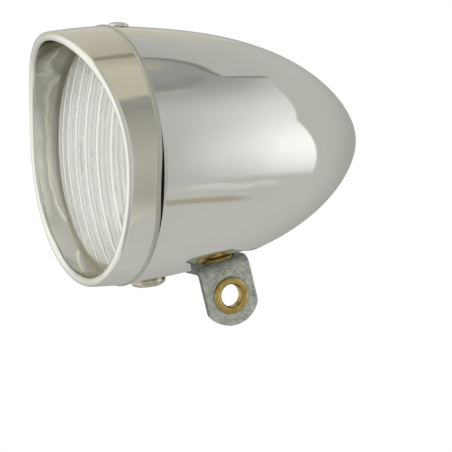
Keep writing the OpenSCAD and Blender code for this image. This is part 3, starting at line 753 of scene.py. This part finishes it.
def lens_piece(per_flute=14, rows=90):
    """The lens: a domed front, and a back face with upright flutes that follow the dome. Both faces are
    grids of upright columns, closer stepped at the ends, and a flat edge joins them."""
    inner = LENS_R - LENS_EDGE_W
    dome_x = LENS_SEAT_X + DOME_GAP - sag(HOOD_IN_SEAT, DOME_R)
    step = FLUTE_PITCH / per_flute
    count = int(inner / step)
    ys = [step * k for k in range(-count, count + 1)]
    ends = [inner * share for share in (0.985, 0.995, 0.999) if inner * share > ys[-1]]
    ys = [-y for y in reversed(ends)] + ys + ends
    flute_r = (FLUTE_PITCH**2 / 4 + FLUTE_H**2) / 2 / FLUTE_H
    back_r = DOME_R - LENS_T

    def front_x(y, z):
        return dome_x + sag(sqrt(y * y + z * z), DOME_R)

    def back_x(y, z):
        off = y - FLUTE_PITCH * round(y / FLUTE_PITCH)
        reach = back_r - sag(y, back_r) - (flute_r - sqrt(flute_r**2 - off**2))
        return dome_x + DOME_R - sqrt(reach**2 - z * z)

    def column(x_at, y):
        """Vertices up the lens at y, on the face that x_at gives."""
        half = sqrt(inner**2 - y * y)
        heights = [half * (2 * i / rows - 1) for i in range(rows + 1)]
        return [bm.verts.new((x_at(y, z), y, z)) for z in heights]

    def border(grid):
        """The vertices round a grid, one way round."""
        tops, bottoms = [one[-1] for one in grid[1:-1]], [one[0] for one in grid[-2:0:-1]]
        return grid[0] + tops + grid[-1][::-1] + bottoms

    bm = bmesh.new()
    grids = [[column(x_at, y) for y in ys] for x_at in (front_x, back_x)]
    for grid in grids:
        for one, two in zip(grid, grid[1:]):
            for i in range(rows):
                bm.faces.new((one[i], two[i], two[i + 1], one[i + 1]))
    front, back = (border(grid) for grid in grids)
    angles = [atan2(v.co.z, v.co.y) for v in front]
    edge_front, edge_back = dome_x + sag(LENS_R, DOME_R), LENS_SEAT_X + LENS_EDGE_T
    edge = [[bm.verts.new((x, r * cos(a), r * sin(a))) for a in angles]
            for x, r in ((edge_front, LENS_R), (edge_back, LENS_R), (edge_back, inner))]
    bridge_all(bm, [front, *edge, back])
    bm.transform(TO_ROW)
    return dress(finish_mesh("lens_glass", bm, 24), "lens", LENS_FINISH)


lens_piece()

# The reflector's dish and the bulb's globe

LENS_BACK_X = LENS_SEAT_X + LENS_EDGE_T
GASKET_BACK_X = LENS_BACK_X + GASKET_T
FLANGE_BACK_X = GASKET_BACK_X + REFLECTOR_WALL
DISH_R = SEAT_R - 2.4
VERTEX_X = FLANGE_BACK_X + DISH_R**2 / 4 / FOCAL_LEN
FOCUS_X = VERTEX_X - FOCAL_LEN
NECK_X = VERTEX_X - NECK_R**2 / 4 / FOCAL_LEN
NECK_END = NECK_X + NECK_LEN
CAP_FRONT = NECK_X + 1
CAP_END = CAP_FRONT + CAP_LEN


def reflector_piece(steps=60):
    """The parabolic dish with its flange and neck."""
    radii = [NECK_R + (DISH_R - NECK_R) * k / steps for k in range(steps + 1)]
    front = [(VERTEX_X - r * r / 4 / FOCAL_LEN, r) for r in radii]
    # The back lies a wall behind the front where the dish slopes, and leaves the neck and flange their own
    back = [(x + REFLECTOR_WALL * 1.4, r + 0.1) for x, r in front[4:-3]]
    flange_x, flange_r = GASKET_BACK_X + 0.01, SEAT_R - 0.75
    outline = [(NECK_END, NECK_R)] + front
    outline += [(flange_x, DISH_R), (flange_x, flange_r),
                (FLANGE_BACK_X, flange_r), (FLANGE_BACK_X, DISH_R + 0.5)]
    outline += back[::-1] + [(NECK_X + 1.8, NECK_R + NECK_WALL), (NECK_END, NECK_R + NECK_WALL)]
    dress(lathe("reflector_dish", outline, ALONG_X, steps=200), "reflector")


def bulb_piece(steps=40):
    """The bulb's globe, open at its neck, where the two walls end in the cap."""
    centre, neck_x = FOCUS_X + 0.8, CAP_FRONT + 2
    last = pi - asin(BULB_NECK_R / BULB_R)

    def arc(radius, last_angle):
        angles = [last_angle * k / steps for k in range(steps + 1)]
        return [(centre - radius * cos(a), radius * sin(a)) for a in angles]

    outline = arc(BULB_R, last) + [(neck_x, BULB_NECK_R), (neck_x, BULB_NECK_R - GLASS_WALL)]
    outline += reversed(arc(BULB_R - GLASS_WALL, last - 0.06))
    dress(lathe("bulb_globe", outline, ALONG_X, steps=96, closed=False), "bulb_glass")


reflector_piece()
bulb_piece()

# Eyelets, rivet, screw, cap and filament


def eyelet(name, node_name, place):
    """A rolled flange on the strip's face, a tube through it and a smaller roll behind."""
    inset, lift = 0.05, 0.01
    mid, half = (EYE_BORE_R + EYE_FLANGE_R) / 2 + inset, (EYE_FLANGE_R - EYE_BORE_R) / 2 - inset
    outline = [(-0.3, EYE_BORE_R), (0.12, EYE_BORE_R + 0.02)]
    outline += [(EYE_FLANGE_H * sin(a), mid + half * cos(a)) for a in sweep_angle(152, 0)]
    outline += [(lift, EYE_FLANGE_R - inset), (lift, EYE_TUBE_R), (-STRIP_T - lift, EYE_TUBE_R)]
    mid, half = (EYE_BORE_R + EYE_BACK_R) / 2 + inset, (EYE_BACK_R - EYE_BORE_R) / 2 - inset
    outline += [(-STRIP_T - lift - EYE_BACK_H * sin(a), mid + half * cos(a)) for a in sweep_angle(0, 150)]
    outline += [(-STRIP_T - 0.1, EYE_BORE_R)]
    dress(lathe(name, outline, place, steps=96), node_name)


def threaded(name, z_low, z_high, place, ends, radius, depth, pitch, turns=72, per_pitch=12):
    """A rod with a rounded screw thread between z_low and z_high. The rest of its outline is ends, in points
    (along, radius)."""
    bm = bmesh.new()
    rows = int((z_high - z_low) / pitch * per_pitch)
    rings = []
    for i in range(rows + 1):
        z = z_low + (z_high - z_low) * i / rows
        fade = min(1.0, (z - z_low) / pitch, (z_high - z) / pitch)
        rings.append([])
        for k in range(turns):
            a = 2 * pi * k / turns
            r = radius - depth * fade * (0.5 - 0.5 * cos(2 * pi * (z / pitch - k / turns)))
            rings[-1].append(bm.verts.new((r * cos(a), r * sin(a), z)))
    rings += [ring(bm, z, r, turns) for z, r in ends]
    bridge_all(bm, rings, closed=True)
    bm.transform(TO_ROW @ place)
    return finish_mesh(name, bm, 40)


def screw_piece(dome_x=0.45, dome_w=1.6, sunk=0.32):
    """The pan head, sunk a little into the shell, with its slot, and the threaded shank."""
    place = on_shell(SCREW_X, -1)
    head = [(-sunk, 0.0), (-sunk, SCREW_HEAD_R - 0.3), (-0.1, SCREW_HEAD_R - 0.06), (0.3, SCREW_HEAD_R)]
    head += [(dome_x + (SCREW_HEAD_H - dome_x) * sin(a), SCREW_HEAD_R - dome_w * (1 - cos(a)))
             for a in sweep_angle(0, 88, 16)]
    head += [(SCREW_HEAD_H, 0.0)]
    screw = lathe("screw", head, place, steps=96, angle=50)
    past, half = 6, SLOT_W / 2
    slot = prism("screw_slot", [(-past, -half), (past, -half), (past, half), (-past, half)],
                 SCREW_HEAD_H - SLOT_DEPTH, SCREW_HEAD_H + 1, place)
    combine(screw, slot, "DIFFERENCE")
    ends = [(0.1, 0.4), (-SCREW_LEN, 0.4), (-SCREW_LEN, SCREW_R - 0.5)]
    shank = threaded("screw_shank", -SCREW_LEN + 0.3, 0.05, place, ends, SCREW_R,
                     depth=0.35, pitch=0.7, turns=48)
    combine(screw, shank, "UNION")
    screw.data.set_sharp_from_angle(angle=radians(50))
    dress(screw, "rim_screw")


def rivet_piece(lift=0.02):
    """The domed head, chromed with the shell, and the shank under it."""
    outline = [(-RIVET_SHANK_LEN, 0.0), (-RIVET_SHANK_LEN, RIVET_SHANK_R)]
    outline += [(0.01, RIVET_SHANK_R), (0.01, RIVET_R - 0.1)]
    outline += [(lift + RIVET_H * sin(a), RIVET_R * cos(a) ** 0.8) for a in sweep_angle(0, 84)]
    outline += [(lift + RIVET_H, 0.0)]
    rivet = lathe("rivet", outline, on_shell(RIVET_X, 1), steps=72, angle=50)
    dress(rivet, "top_rivet", MATERIALS["chrome"])


def cap_piece():
    """The E10 screw cap: its thread, its rolled end and its inside."""
    low, high = CAP_FRONT, CAP_END
    ends = [(high - 0.5, CAP_R - 0.45), (high, CAP_R - 1.0), (high, 2.4), (high - 0.5, 2.35),
            (high - 0.7, 3.0), (low, 3.5), (low, CAP_R - 0.7)]
    cap = threaded("cap_shell", low + 0.9, high - 1.0, ALONG_X, ends, CAP_R, depth=0.42, pitch=1.81)
    dress(cap, "bulb_cap")


def filament_piece(loops=9, per_loop=14, wire=0.09):
    """A coil across the lamp on two support wires, which stand in a glass bead."""
    count = loops * per_loop
    coil = [(FOCUS_X - COIL_R * cos(2 * pi * t / per_loop), -COIL_HALF_LEN + 2 * COIL_HALF_LEN * t / count,
             COIL_R * sin(2 * pi * t / per_loop)) for t in range(count + 1)]
    stem, knee = FOCUS_X + 5.0, FOCUS_X + 2.5
    path = [(stem, -0.9, 0), (knee, -1.1, 0)] + coil + [(knee, 1.1, 0), (stem, 0.9, 0)]
    off_path = Vector((0.13, 0.2, 0.97))
    bm = bmesh.new()
    rings = []
    for i, p in enumerate(path):
        ahead = (Vector(path[min(i + 1, len(path) - 1)]) - Vector(path[max(i - 1, 0)])).normalized()
        side = ahead.cross(off_path).normalized()
        up = side.cross(ahead)
        rings.append([bm.verts.new(Vector(p) + (side * cos(b) + up * sin(b)) * wire)
                      for b in (pi / 3 * k for k in range(6))])
    bridge_all(bm, rings)
    bm.faces.new(rings[0][::-1])
    bm.faces.new(rings[-1])
    bead_r, bead_end, turns = 1.45, CAP_END - 0.7, 32
    bead = [(stem - 0.9, 0.0), (stem - 0.8, 0.5), (stem - 0.4, 1.2), (stem, bead_r), (bead_end, bead_r),
            (bead_end, 0.0)]
    angles = [2 * pi * k / turns for k in range(turns)]
    bridge_all(bm, [[bm.verts.new((x, r * cos(a), r * sin(a))) for a in (angles if r else angles[:1])]
                    for x, r in bead])
    bm.transform(TO_ROW)
    dress(finish_mesh("filament_coil", bm, 40), "bulb_filament")


eyelet("eyelet_leg", "leg_eyelet",
       PIVOT @ Matrix.Translation((-PIVOT_OFF, -LEG_OUT, -EYE_DROP)) @ Matrix.Rotation(pi / 2, 4, "X"))
eyelet("eyelet_foot", "foot_eyelet", PIVOT)
screw_piece()
rivet_piece()
cap_piece()
filament_piece()

# Small bevels on the solids of sheet and bar that stay as they are
for node_name in ("bracket", "clamp_plate", "top_catch", "pivot_nut", "feed_terminal"):
    rounding = nodes[node_name].modifiers.new("edges", "BEVEL")
    rounding.width = 0.15 * MM
    rounding.segments = 2
    rounding.limit_method = "ANGLE"
    rounding.angle_limit = radians(50)
    rounding.harden_normals = True

# Camera

CAMERA_LENS = 205.0
CAMERA_SPOT = (-233.39, -551.16, 52.29)
CAMERA_TURN, CAMERA_RISE, CAMERA_ROLL = radians(25.445), radians(6.655), radians(-2.037)


def make_camera():
    data = bpy.data.cameras.new("camera")
    data.sensor_width = 36
    data.lens = CAMERA_LENS
    data.clip_start = 0.01
    camera = bpy.data.objects.new("camera", data)
    bpy.context.scene.collection.objects.link(camera)
    level = cos(CAMERA_RISE)
    back = Vector((-sin(CAMERA_TURN) * level, -cos(CAMERA_TURN) * level, sin(CAMERA_RISE)))
    right = Vector((cos(CAMERA_TURN), -sin(CAMERA_TURN), 0))
    up = back.cross(right)
    rolled_right = right * cos(CAMERA_ROLL) + up * sin(CAMERA_ROLL)
    rolled_up = up * cos(CAMERA_ROLL) - right * sin(CAMERA_ROLL)
    turn = Matrix((rolled_right, rolled_up, back)).transposed().to_4x4()
    camera.matrix_world = Matrix.Translation(TO_ROW @ Vector(CAMERA_SPOT)) @ turn
    bpy.context.scene.camera = camera


make_camera()

# Studio

# Tints of the studio's light
WARM, COOL, GREENISH = (1.055, 1.0, 0.795), (1.0, 1.005, 0.94), (1.03, 1.02, 0.89)
PANEL_BASE = 0.38


class Studio(Graph):
    """A world drawn over directions, in degrees: turn is 0 towards the viewer and 90 behind the lamp, and
    rise is up. Each part is laid over the parts before it."""

    def __init__(self, tree):
        super().__init__(tree)
        x, y, z = self.split(self.coords("Generated"))
        self.turn = self.line(self.math("ARCTAN2", x, self.line(y, -1.0)), 180 / pi)
        self.rise = self.line(self.math("ARCSINE", z), 180 / pi)
        # A wedge behind the lamp, between two slanting lines
        self.wedge_low = self.math("ADD", self.line(self.turn, -0.57), 97.2)
        self.wedge_high = self.math("ADD", self.math("ADD", self.line(self.turn, 0.43), 16.2),
                                    self.line(self.turn, -0.26, 88.0))

    def line(self, value, slope, start=None):
        """value times slope, or how far value is past start times slope."""
        past = value if start is None else self.math("MAXIMUM", self.math("SUBTRACT", value, start), 0.0)
        return self.math("MULTIPLY", past, slope)

    def over(self, value, limit, soft):
        """1 where value is over limit, by a soft step."""
        return self.fade(self.math("SUBTRACT", value, limit), -soft, soft)

    def by_turn(self, *stops):
        return self.profile(self.turn, stops)

    def by_rise(self, *stops):
        return self.profile(self.rise, stops)

    def tinted(self, level, tint):
        return self.mix(1.0, level, tint, "MULTIPLY")

    def lay(self, share, colour):
        """Lays colour over what is drawn so far, by its share."""
        self.colour = self.mix(share, self.colour, colour)

    def seam(self, centre, width, *limits):
        """1 along the line where rise is centre, fading out at each of the limits of turn."""
        off = self.math("ABSOLUTE", self.math("SUBTRACT", self.rise, centre))
        depth = self.fade(off, width, width * 0.25)
        for low, high in limits:
            depth = self.math("MULTIPLY", depth, self.fade(self.turn, low, high))
        return depth

    def lay_seam(self, share, colour, seam):
        self.lay(self.math("MULTIPLY", seam, share), colour)

    def bright_panel(self):
        """The panel beside the lamp, brightest at the lamp's height and near its edge behind the lamp."""
        peak = self.by_turn((28, 0.60), (34, 0.70), (38, 0.90), (44, 1.11), (50, 1.24), (57, 1.37),
                            (67, 1.47), (80, 1.46))
        height = self.by_rise((-30, 0.52), (-20, 0.58), (-12, 0.85), (-2, 1.08), (8, 0.97), (18, 0.74),
                              (30, 0.56), (37, 0.42), (44, 0.19), (52, 0.02))
        level = self.math("MULTIPLY_ADD", self.math("SUBTRACT", peak, PANEL_BASE), height, PANEL_BASE)
        self.colour = self.tinted(level, (0.995, 1.005, 0.98))

    def viewer_side(self):
        """The darker, greenish side towards the viewer."""
        level = self.by_rise((-60, 0.84), (-46, 0.76), (-31, 0.50), (-14, 0.58), (0, 0.62), (18, 0.53),
                             (34, 0.47), (42, 0.37), (48, 0.42), (56, 0.66))
        self.lay(self.fade(self.turn, 36.0, 30.0), self.tinted(level, GREENISH))

    def grey_behind(self):
        """Light grey behind the lamp and underneath, past the panel's edges and in the wedge over its top."""
        turn, rise = self.turn, self.rise
        level = self.by_rise((-60, 0.72), (-30, 0.72), (-10, 0.70), (30, 0.70), (48, 0.66), (58, 0.62))
        fall = self.by_turn((82, 0.0), (95, 0.08), (105, 0.16), (115, 0.24), (125, 0.31), (136, 0.40),
                            (150, 0.40))
        band = self.by_rise((-62, 0.0), (-45, 0.35), (-30, 0.66), (-15, 0.92), (-4, 1.05), (8, 0.75),
                            (20, 0.33), (34, 0.0))
        level = self.math("MULTIPLY", level, self.math("SUBTRACT", 1.0, self.math("MULTIPLY", fall, band)))
        edge = self.math("ADD", self.math("ADD", self.line(rise, -0.27), 75.3),
                         self.math("ADD", self.line(rise, 1.01, 17.0), self.line(rise, 1.26, 36.0)))
        past_edge = self.over(turn, self.math("MINIMUM", edge, 112.0), 1.0)
        below_top = self.math("SUBTRACT", 1.0, self.over(rise, self.wedge_high, 0.6))
        in_wedge = self.math("MULTIPLY", self.over(rise, self.wedge_low, 0.6), below_top)
        in_wedge = self.math("MULTIPLY", in_wedge, self.fade(turn, 80.5, 81.5))
        beneath = self.math("MULTIPLY", self.fade(rise, -18.0, -23.0), self.fade(turn, 30.0, 36.0))
        share = self.math("MAXIMUM", self.math("MAXIMUM", past_edge, in_wedge), beneath)
        self.lay(share, self.tinted(level, COOL))

    def cloth_seams(self):
        """Seams in the studio's cloth: dark along the wedge and under the panel, and one pale and ragged."""
        wedge = self.math("MAXIMUM", self.seam(self.wedge_low, 1.3, (80, 84), (100, 95)),
                          self.seam(self.wedge_high, 1.2, (80, 84), (114, 108)))
        self.lay_seam(0.85, (0.27, 0.27, 0.245), wedge)
        under = self.math("ADD", self.line(self.turn, -0.12), -30.0)
        self.lay_seam(0.75, (0.46, 0.42, 0.31), self.seam(under, 3.0, (31, 37), (64, 50)))
        ragged = self.line(self.math("SINE", self.line(self.turn, 0.35)), 0.9)
        pale = self.math("ADD", self.math("ADD", self.line(self.turn, -0.05), -24.0), ragged)
        self.lay_seam(0.6, (0.96, 0.96, 0.92), self.seam(pale, 3.2, (36, 42), (70, 56)))

    def folds(self):
        """A fold under the ceiling, and a shorter, paler one below it."""
        fold = self.math("ADD", self.line(self.turn, 0.2), 38.8)
        self.lay_seam(0.75, (0.36, 0.365, 0.345), self.seam(fold, 2.2, (50, 56), (82, 72)))
        fold = self.math("ADD", self.line(self.turn, 0.3), 30.6)
        self.lay_seam(0.8, (0.58, 0.58, 0.53), self.seam(fold, 1.3, (49, 51), (58, 56)))

    def ceiling(self):
        """The warm ceiling, lower towards the viewer and well behind the lamp, and a seam across it."""
        turn, rise = self.turn, self.rise
        low = 50.5
        for first, last, step in ((48.0, 78.0, 8.5), (124.0, 138.0, -9.0), (140.0, 148.0, -36.0)):
            low = self.math("MULTIPLY_ADD", self.fade(turn, first, last), step, low)
        level = self.by_turn((20, 0.67), (60, 0.73), (82, 0.72), (105, 0.58), (135, 0.62), (160, 0.74))
        cooler = self.math("MULTIPLY", self.fade(turn, 136.0, 146.0), self.fade(rise, 54.0, 48.0))
        tint = self.mix(cooler, WARM, (1.03, 1.0, 0.865))
        self.lay(self.over(rise, low, 2.0), self.tinted(level, tint))
        across = self.math("ABSOLUTE", self.math("SUBTRACT", turn, 116.0))
        across = self.math("MULTIPLY", self.fade(across, 9.0, 2.5), self.fade(rise, 58.0, 62.0))
        self.lay_seam(0.8, (0.34, 0.32, 0.23), across)

    def ahead(self):
        """In front of the lamp: grey around the camera, and past it a bright panel for the lip and lens."""
        level = self.by_turn((-180, 0.70), (-165, 0.86), (-152, 1.05), (-140, 1.36), (-100, 1.42),
                             (-84, 1.36), (-74, 1.0), (-64, 0.72), (-30, 0.70), (-8, 0.80), (12, 0.86))
        ends = self.by_rise((-66, 0.66), (-40, 0.86), (-20, 1.0), (40, 1.0), (62, 0.80))
        self.lay(self.fade(self.turn, 18.0, 8.0), self.tinted(self.math("MULTIPLY", level, ends), COOL))


def studio_world():
    """The soft studio that the lamp mirrors. The camera sees plain white."""
    world = bpy.data.worlds.new("studio")
    bpy.context.scene.world = world
    world.use_nodes = True
    studio = Studio(world.node_tree)
    for part in (studio.bright_panel, studio.viewer_side, studio.grey_behind, studio.cloth_seams,
                 studio.folds, studio.ceiling, studio.ahead):
        part()
    soft = studio.add("ShaderNodeBackground", Color=studio.colour, Strength=1.0)
    plain = studio.add("ShaderNodeBackground", Color=(1.0, 1.0, 1.0), Strength=1.0)
    studio.finish(studio.blend(studio.ray("Is Camera Ray"), soft, plain), "ShaderNodeOutputWorld")


def floor():
    """A pale floor under the lamp: white to the camera but for the lamp's soft shadow, and not mirrored."""
    size, drop = 3.0, 0.05
    bm = bmesh.new()
    bmesh.ops.create_grid(bm, x_segments=1, y_segments=1, size=size)
    bm.transform(Matrix.Translation((0, 0, cad_box[0][2] - drop)))
    obj = finish_mesh("floor", bm)
    mat, g = material("floor")
    matte = g.add("ShaderNodeBsdfDiffuse", Color=(0.95, 0.95, 0.95))
    white = g.add("ShaderNodeEmission", Color=(1.0, 1.0, 1.0), Strength=1.015)
    clear = g.add("ShaderNodeBsdfTransparent")
    seen = g.math("MULTIPLY", g.ray("Is Camera Ray"), 0.93)
    mirrored = g.ray("Is Glossy Ray")
    g.finish(g.blend(mirrored, g.blend(seen, matte, white), clear))
    obj.data.materials.append(mat)


studio_world()
floor()

bpy.context.scene.view_settings.view_transform = "Standard"
